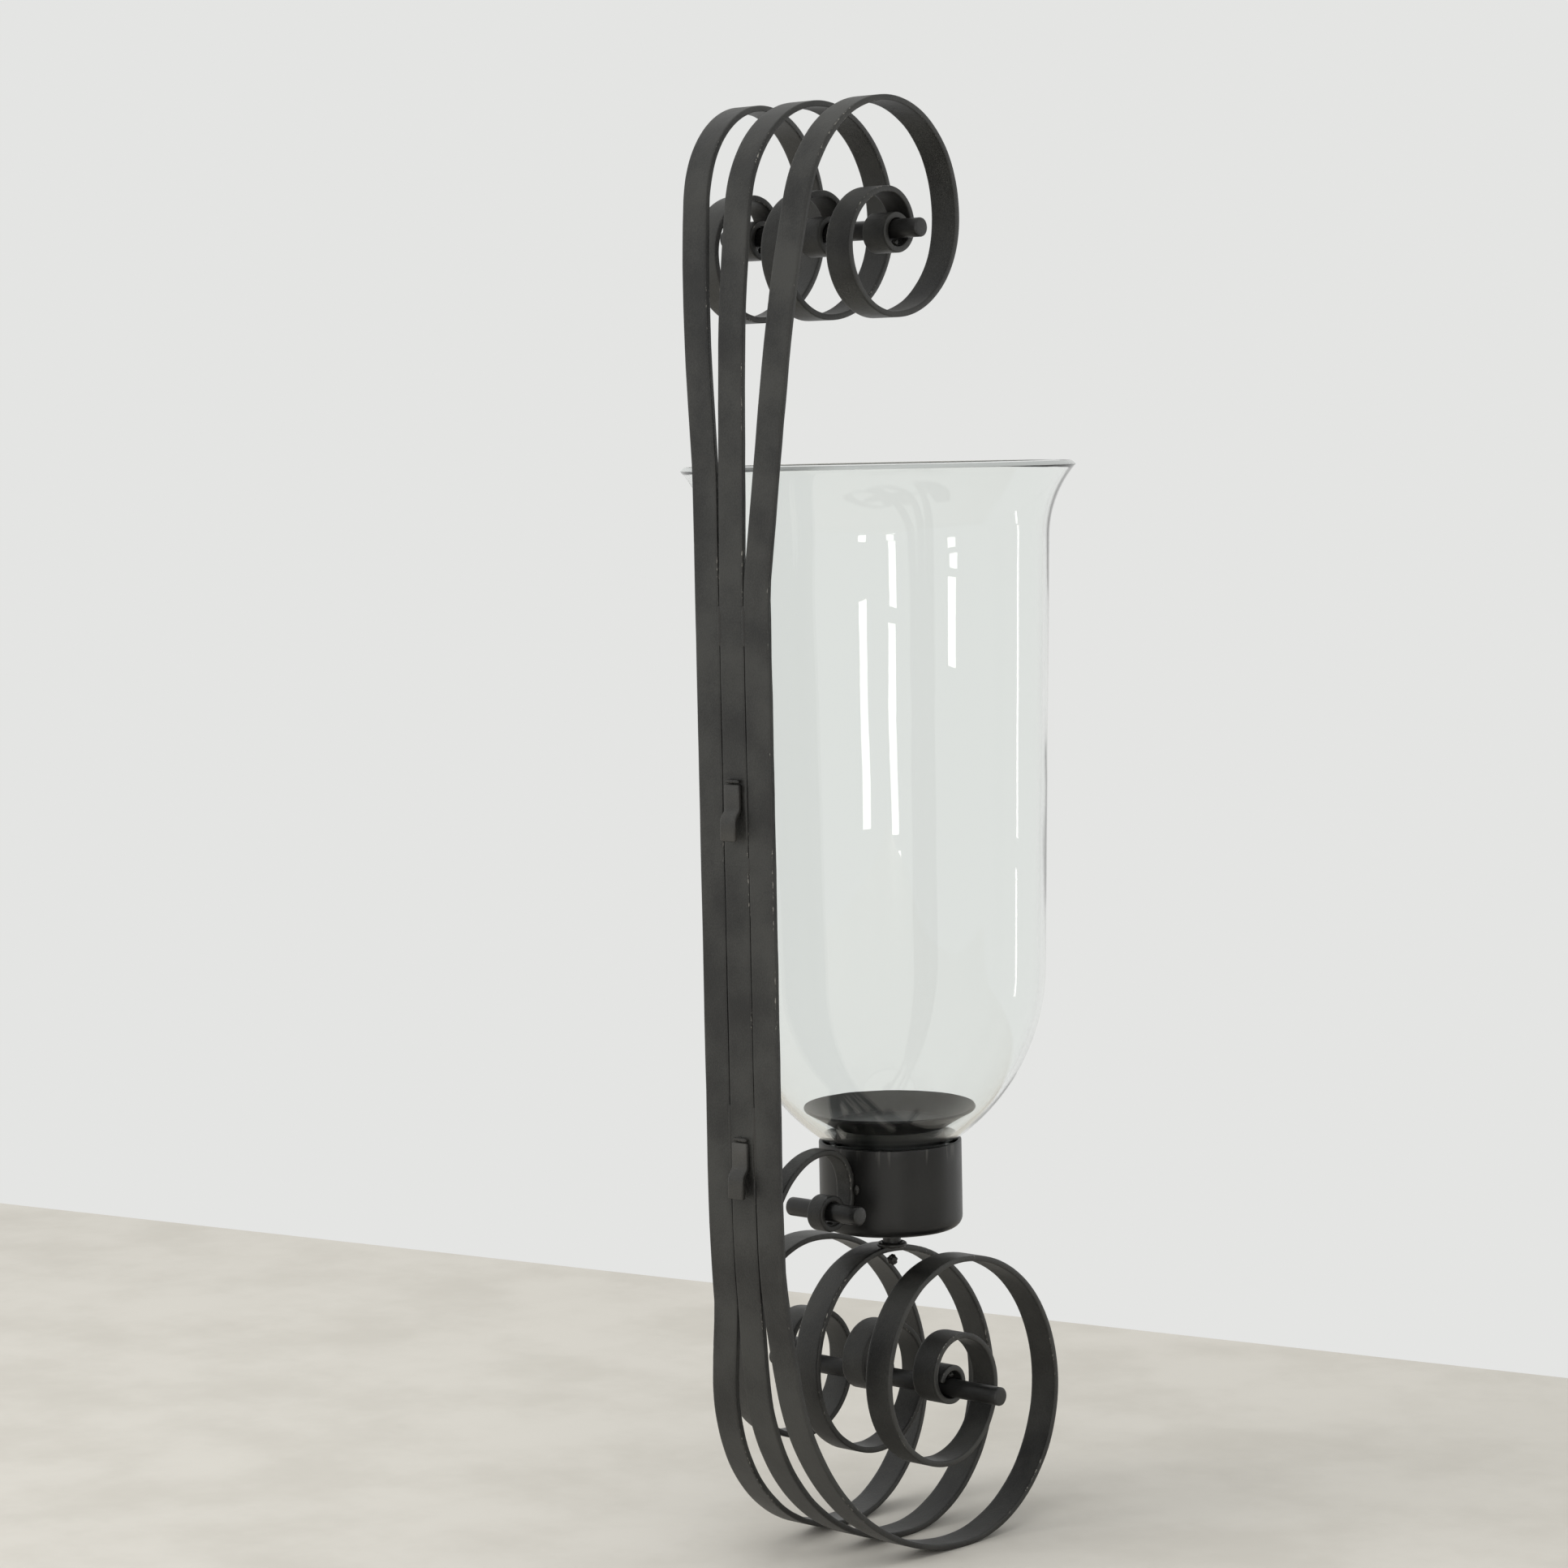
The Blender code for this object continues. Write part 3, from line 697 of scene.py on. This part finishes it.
def draw_tack(name, node, seed):
    """A small blob of weld in the box of its node."""
    low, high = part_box(node)
    middle, reach = (low + high) / 2, (high - low) / 2
    mesh = bmesh.new()
    edge_layer = mesh.verts.layers.float.new("edge")
    bmesh.ops.create_icosphere(mesh, subdivisions=4, radius=1.0)
    for vert in mesh.verts:
        bump = 1.0 - 0.22 * sway(*(vert.co * 2.1 + Vector((seed, 0, 0))))
        ripple = 1.0 - 0.05 * abs(math.sin(vert.co.x * 9 + seed))
        vert.co = Vector((vert.co.x * reach.x, vert.co.y * reach.y, vert.co.z * reach.z))
        vert.co = vert.co * bump * ripple + middle
        vert[edge_layer] = 0.2
    place_piece(name, node, mesh, weld_paint)


tacks = [node for node in sorted(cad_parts) if "tack" in node or node == "post_weld_under"]
for seed, node in enumerate(tacks):
    draw_tack(node + "_bead", node, 2.3 * seed)


# ---------------------------------------------------------------- hooks
def draw_hook(name, node, seed):
    """A joggled strip: a plate on the bar, a bend outward and a leg downward."""
    low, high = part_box(node)
    bend = math.radians(hook_bend)
    inner_bend = hook_bend_radius - hook_thickness
    bent = (hook_bend_radius + inner_bend) * (1 - math.cos(bend))
    trace = Trace((bar_back + gap + hook_thickness, high.z), -90)
    trace.line(hook_plate)
    trace.arc(inner_bend, hook_bend, 6)
    trace.line((hook_slot - bent) / math.sin(bend))
    trace.arc(hook_bend_radius, -hook_bend, 6)
    trace.line(hook_leg)
    stations = [(point, -direction, -length) for point, direction, length
                in reversed(trace.stations)]
    swept_bar(name, node, stations, lambda _: 0.0, lambda _: hook_width, hook_thickness,
              hook_paint, seed)


draw_hook("hook_strip_upper", "hook_upper", 51.0)
draw_hook("hook_strip_lower", "hook_lower", 63.0)
for seed, node in ((5.0, "hook_weld_upper"), (8.0, "hook_weld_lower")):
    low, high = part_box(node)
    middle = (low + high) / 2
    bead = bmesh.new()
    weld_run(bead, (low.x, middle.y, middle.z), (high.x, middle.y, middle.z), (0, 0, 1),
             (0, 1, 0), (high.z - low.z) / 2, (high.y - low.y) / 2, seed)
    place_piece(node + "_bead", node, bead, weld_paint)

# ---------------------------------------------------------------- bracket
bracket_low, bracket_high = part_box("bracket_scroll")
cup_low, cup_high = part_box("cup")
seat = middle_of("cup")
bracket_middle = (bracket_low.x + bracket_high.x) / 2
bracket_width = bracket_high.x - bracket_low.x
lean_top = bottom_spring + lean_radius * math.sin(math.radians(bottom_lean))
front_radius = lean_radius - bar_thickness
foot_z = bracket_low.z
tilt = math.asin(max(0.0, lean_top - foot_z) / front_radius)
foot_y = bar_front - gap - front_radius * (1 - math.cos(tilt))
arch_y = cup_high.y + gap + bracket_front_radius
turned_back = math.radians(180 - bracket_top_angle)
across = (foot_y + bracket_foot * math.sin(tilt) - arch_y
          - bracket_top_radius * math.sin(turned_back))
back_radius = across / (math.cos(tilt) - math.sin(turned_back))
bracket_trace = Trace((foot_y, foot_z), 90 - math.degrees(tilt))
bracket_trace.line(bracket_foot)
bracket_trace.arc(back_radius, 90 - bracket_top_angle + math.degrees(tilt))
bracket_trace.arc(bracket_top_radius, bracket_top_angle)
bracket_trace.arc(bracket_front_radius, 90)
bracket_trace.line(bracket_front_line)
bracket_trace.arc(bracket_low_radius, 90)
bracket_trace.arc(rod_radius + bracket_eye_clearance + bar_thickness, bracket_eye_roll, 7.5)
swept_bar("bracket_curl", "bracket_scroll", bracket_trace.stations, lambda _: bracket_middle,
          lambda _: bracket_width, bar_thickness, bar_paint, 77.0)
low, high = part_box("bracket_foot_weld")
bead = bmesh.new()
weld_run(bead, (low.x, (low.y + high.y) / 2, (low.z + high.z) / 2),
         (high.x, (low.y + high.y) / 2, (low.z + high.z) / 2), (0, 0, 1), (0, 1, 0),
         (high.z - low.z) / 2, (high.y - low.y) / 2, 12.0)
place_piece("bracket_foot_bead", "bracket_foot_weld", bead, weld_paint)


# ---------------------------------------------------------------- cup on its post
def rounded_profile(trace, wall):
    """A sheet profile: the traced outside, a rounded lip and the inside."""
    outside = [(point.x, point.y, 0.0) for point, _, _ in trace.stations]
    inside = [(point.x - direction.y * wall, point.y + direction.x * wall, 0.0)
              for point, direction, _ in trace.stations]
    end, heading, _ = trace.stations[-1]
    left = Vector((-heading.y, heading.x))
    lip = []
    for through, ahead, edge in ((0.03, 0.10, 0.6), (0.14, 0.17, 1.0), (0.35, 0.20, 0.4),
                                 (0.65, 0.20, 0.4), (0.86, 0.17, 1.0), (0.97, 0.10, 0.6)):
        spot = end + left * through * wall + heading * ahead * lip_softness
        lip.append((spot.x, spot.y, edge))
    return outside, lip, inside


cup_outer = (cup_high.x - cup_low.x) / 2
cup_height = cup_high.z - cup_low.z
lip_dress = cup_wall * 0.3
cup_outline = [(0.0, 0.0, 0.0)]
for step in range(1, 4):
    cup_outline.append(((cup_outer - cup_corner) * step / 3, 0.0, 0.0))
for turn in range(10, 91, 10):
    angle = math.radians(turn)
    cup_outline.append((cup_outer - cup_corner + cup_corner * math.sin(angle),
                        cup_corner - cup_corner * math.cos(angle), 0.25))
for step in range(1, 12):
    cup_outline.append((cup_outer, cup_corner + (cup_height - cup_corner - 0.001) * step / 12, 0.0))
cup_outline += [(cup_outer, cup_height - lip_dress * 1.6, 0.3),
                (cup_outer - lip_dress * 0.1, cup_height - lip_dress * 0.6, 0.9),
                (cup_outer - lip_dress * 0.6, cup_height - lip_dress * 0.1, 1.0),
                (cup_outer - lip_dress * 1.2, cup_height, 0.7),
                (cup_outer - cup_wall + lip_dress * 1.2, cup_height, 0.7),
                (cup_outer - cup_wall + lip_dress * 0.4, cup_height - lip_dress * 0.2, 1.0),
                (cup_outer - cup_wall, cup_height - lip_dress, 0.6)]
cup_outline += [(cup_outer - cup_wall, cup_height - lip_dress - (cup_height - cup_corner) * step / 6,
                 0.0) for step in range(1, 6)]
for turn in range(80, -1, -20):
    angle = math.radians(turn)
    inner = cup_corner - cup_wall
    cup_outline.append((cup_outer - cup_corner + inner * math.sin(angle),
                        cup_corner - inner * math.cos(angle), 0.0))
cup_outline.append((0.0, cup_wall, 0.0))
turned_piece("socket_cup", "cup", cup_outline, (seat.x, seat.y, cup_low.z), cup_paint, sharp=60)

post_low, post_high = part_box("cup_post")
post_reach = (post_high.x - post_low.x) / 2
post_height = post_high.z - post_low.z
post_outline = [(0, 0, 0)] + [(post_reach, post_height * step / 8, 0) for step in range(9)]
post_outline.append((0, post_height, 0))


def knead_post(radius, height, angle):
    return radius * (1 - 0.05 * sway(height * 200, math.cos(angle), math.sin(angle))), height


turned_piece("short_post", "cup_post", post_outline, (seat.x, seat.y, post_low.z), weld_paint,
             steps=40, swell=knead_post)


def draw_collar(name, node, seed):
    """A fillet of weld laid round the post."""
    low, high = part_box(node)
    radius = (high.z - low.z) / 2
    middle = (high.x - low.x) / 2 - radius
    outline = [(middle + radius * math.cos(math.radians(turn)),
                radius * math.sin(math.radians(turn)), 0.2) for turn in range(0, 360, 24)]

    def pile(reach, height, angle):
        size = 0.80 + 0.20 * sway(math.cos(angle) * 1.6, math.sin(angle) * 1.6, seed)
        size *= 0.93 + 0.07 * abs(math.sin(angle * 9 + seed))
        return middle + (reach - middle) * size, height * size

    place = (low + high) / 2
    turned_piece(name, node, outline, place, weld_paint, steps=96, swell=pile)


draw_collar("post_bead_lower", "post_weld_lower", 1.0)
draw_collar("post_bead_upper", "post_weld_upper", 6.0)

# ---------------------------------------------------------------- glass shade
shade_low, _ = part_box("glass_shade")
shade_trace = Trace((neck_radius, shade_low.z + glass_wall / 2), 90)
shade_trace.line(cup_high.z + neck_above_cup - shade_low.z - glass_wall / 2)
shade_trace.arc(neck_fillet, -bowl_angle, 6)
shade_trace.arc(bowl_radius, bowl_angle - body_taper, 2.5)
shade_trace.line(body_height / math.cos(math.radians(body_taper)))
shade_trace.arc(flare_radius, body_taper - flare_angle + rim_held_back, 2.5)
outside, lip, inside = rounded_profile(shade_trace, glass_wall)
foot = [(neck_radius - glass_wall / 2 + glass_wall / 2 * math.cos(math.radians(turn)),
         shade_low.z + glass_wall / 2 + glass_wall / 2 * math.sin(math.radians(turn)), 0.0)
        for turn in (-150, -120, -90, -60, -30)]
glass_piece = turned_piece("hurricane_glass", "glass_shade", outside + lip + inside[::-1] + foot,
                           (seat.x, seat.y, 0.0), clear_glass, body="shade", sharp=180)
# second finish: the painted pale light line on the rim faces
glass_piece.data.materials.append(rim_glass_painted_light)
edge_shares = glass_piece.data.attributes["edge"].data
rim_edge_share = 0.3             # faces above this edge share get the painted light line of the rim
for face in glass_piece.data.polygons:
    if min(edge_shares[vertex].value for vertex in face.vertices) > rim_edge_share:
        face.material_index = 1

# ---------------------------------------------------------------- candle pan
pan_low, pan_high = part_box("candle_pan")
pan_rim = (pan_high.x - pan_low.x) / 2
pan_tube = neck_radius - glass_wall - 2 * gap
pan_underside = pan_high.z - pan_low.z - pan_wall / 2 - pan_depth
pan_bend = 0.004                 # rounding between the floor and the sloping wall
pan_bend_lead = 0.001            # flat floor given up to that rounding
pan_dress = 0.0004               # softening of the sheet's cut edges
wall_angle = math.degrees(math.atan2(pan_depth, pan_rim - pan_floor_radius))
pan_trace = Trace((pan_tube, pan_underside), 0)
pan_trace.line(pan_floor_radius - pan_tube - pan_bend_lead)
pan_trace.arc(pan_bend, wall_angle, 6)
start_point, start_heading, _ = pan_trace.stations[-1]
pan_trace.line((pan_rim - pan_dress - start_point.x) / start_heading.x)
outside, lip, inside = rounded_profile(pan_trace, pan_wall)
tube_inside = pan_tube - pan_wall
tube = [(0.0, pan_underside, 0.0), (tube_inside, pan_underside, 0.0),
        (tube_inside, pan_dress, 0.2), (tube_inside + pan_dress, 0.0, 0.8),
        (pan_tube - pan_dress, 0.0, 0.8), (pan_tube, pan_dress, 0.8)]
tube += [(pan_tube, pan_underside * step / 8, 0.0) for step in range(1, 8)]
floor_rings = [(pan_tube * step / 4, pan_underside + pan_wall, 0.0) for step in (3, 2, 1, 0)]
turned_piece("drip_pan", "candle_pan", tube + outside + lip + inside[::-1] + floor_rings,
             (seat.x, seat.y, pan_low.z), pan_paint, body="pan", sharp=60)


# ---------------------------------------------------------------- seam welds
def draw_seam(name, node, back_reach, back_rise, seed):
    """A bead on the front of a seam, with the dressed remains of one on its back."""
    low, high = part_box(node)
    x = (low.x + high.x) / 2
    bead = bmesh.new()
    weld_run(bead, (x, high.y, low.z), (x, high.y, high.z), (1, 0, 0), (0, 1, 0),
             (high.x - low.x) / 2, high.y - low.y, seed)
    weld_run(bead, (x, bar_back - back_rise * 0.5, low.z), (x, bar_back - back_rise * 0.5, high.z),
             (1, 0, 0), (0, 1, 0), back_reach, back_rise, seed + 4)
    place_piece(name, node, bead, weld_paint)


for seed, (node, reach, rise) in enumerate((
        ("seam_weld_upper_left", 0.0022, 0.0007), ("seam_weld_upper_right", 0.0022, 0.0007),
        ("seam_weld_lower_left", 0.0016, 0.00035), ("seam_weld_lower_right", 0.0016, 0.00035),
        ("seam_spot_weld", 0.0020, 0.0006))):
    draw_seam(node + "_bead", node, reach, rise, 20.0 + 3 * seed)

# ---------------------------------------------------------------- floor
floor_height = cad_low.z
floor_side = 2.4                 # to either side and in front of the sconce's back
floor_beyond = 0.77              # to the far edge, past which the pale room shows
floor_skew = math.radians(10.05)  # turn of that edge


def stage_sheet(name, finish, corners):
    data = bpy.data.meshes.new(name)
    data.from_pydata(corners, [], [(0, 1, 2, 3)])
    data.materials.append(finish)
    sheet = bpy.data.objects.new(name, data)
    bpy.context.collection.objects.link(sheet)
    sheet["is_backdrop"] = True
    return sheet


edge_rise = floor_side * math.tan(floor_skew)
stage_sheet("studio_floor",
            plaster_finish("pale floor", (0.60, 0.575, 0.525), (0.54, 0.515, 0.465), 9.0),
            [(-floor_side, -floor_beyond - edge_rise, floor_height),
             (floor_side, -floor_beyond + edge_rise, floor_height),
             (floor_side, floor_side, floor_height), (-floor_side, floor_side, floor_height)])

# ---------------------------------------------------------------- camera
camera_turn = math.radians(42.31)     # from the wall's inward direction toward -X
camera_drop = math.radians(4.89)
camera_roll = math.radians(-1.18)
camera_distance = 2.4893
camera_right = 0.02986                # sideways and upward shift of the whole camera
camera_up = 0.02509
camera_aim = Vector((0.0, -0.0075, 0.0041))
focal_length = 93.18                  # mm, on a square sensor 36 mm wide

look = Vector((math.sin(camera_turn) * math.cos(camera_drop),
               -math.cos(camera_turn) * math.cos(camera_drop), -math.sin(camera_drop)))
level_right = look.cross(Vector((0, 0, 1))).normalized()
level_up = level_right.cross(look)
right = level_right * math.cos(camera_roll) + level_up * math.sin(camera_roll)
up = level_up * math.cos(camera_roll) - level_right * math.sin(camera_roll)
lens = bpy.data.cameras.new("studio camera")
lens.lens = focal_length
lens.sensor_width = 36
lens.clip_end = 50
camera = bpy.data.objects.new("studio camera", lens)
bpy.context.collection.objects.link(camera)
eye = camera_aim - look * camera_distance + right * camera_right + up * camera_up
camera.matrix_world = Matrix.Translation(eye) @ Matrix((right, up, -look)).transposed().to_4x4()
bpy.context.scene.camera = camera


# ---------------------------------------------------------------- light
def soft_box(name, azimuth, distance, height, width, tall, power, colour=(1, 1, 1), aim=0.0):
    """An area light facing the sconce. Azimuth is counted from the camera's side."""
    data = bpy.data.lights.new(name, "AREA")
    data.shape = "RECTANGLE"
    data.size = width
    data.size_y = tall
    data.energy = power
    data.color = colour
    lamp = bpy.data.objects.new(name, data)
    bpy.context.collection.objects.link(lamp)
    back = Vector((-look.x, -look.y, 0)).normalized()
    outward = Matrix.Rotation(math.radians(azimuth), 3, "Z") @ back
    target = Vector((seat.x, seat.y, aim))
    lamp.location = Vector((seat.x, seat.y, 0)) + outward * distance + Vector((0, 0, height))
    lamp.rotation_euler = (target - lamp.location).to_track_quat("-Z", "Y").to_euler()
    lamp.visible_camera = False
    lamp.visible_transmission = False
    return lamp


side_light = soft_box("large_soft_box", -68, 3.4, 1.6, 2.2, 2.2, 70)
side_light.visible_glossy = False
top_light = soft_box("top_soft_box", -15, 1.2, 3.0, 2.4, 2.4, 30)
top_light.visible_glossy = False


window_distance = 3.6
window_light = (1.0, 0.98, 0.95)
pane_share = 0.9                 # of each row of panes that is glass, not bars
pane_drift = 1.2                 # degrees that every other row is turned aside


def window(name, azimuth, width, tall, height, brightness, panes):
    """A tall window of stacked panes, seen as a bright strip in the glass."""
    pane = tall / panes
    area = width * pane * pane_share
    for row in range(panes):
        middle = height + (row - (panes - 1) / 2) * pane
        drift = pane_drift * (row % 2)
        soft_box(f"{name}_{row}", azimuth + drift, window_distance, middle, width,
                 pane * pane_share, brightness * math.pi * area, window_light, middle)


window("window_left", -13, 0.34, 0.38, -0.33, 9.0, 1)
window("window_middle", 6, 0.30, 1.65, -0.36, 9.0, 5)
window("window_right", 47, 0.34, 0.32, -0.10, 9.0, 2)
window("window_far_right", 104, 0.13, 1.70, -0.20, 5.0, 3)

world = bpy.data.worlds.new("pale room")
world.use_nodes = True
world.node_tree.nodes["Background"].inputs["Color"].default_value = (0.985, 0.99, 0.975, 1.0)
world.node_tree.nodes["Background"].inputs["Strength"].default_value = 0.79
bpy.context.scene.world = world
bpy.context.scene.view_settings.view_transform = "Standard"

# ---------------------------------------------------------------- bounds of the drawn pieces
low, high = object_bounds()
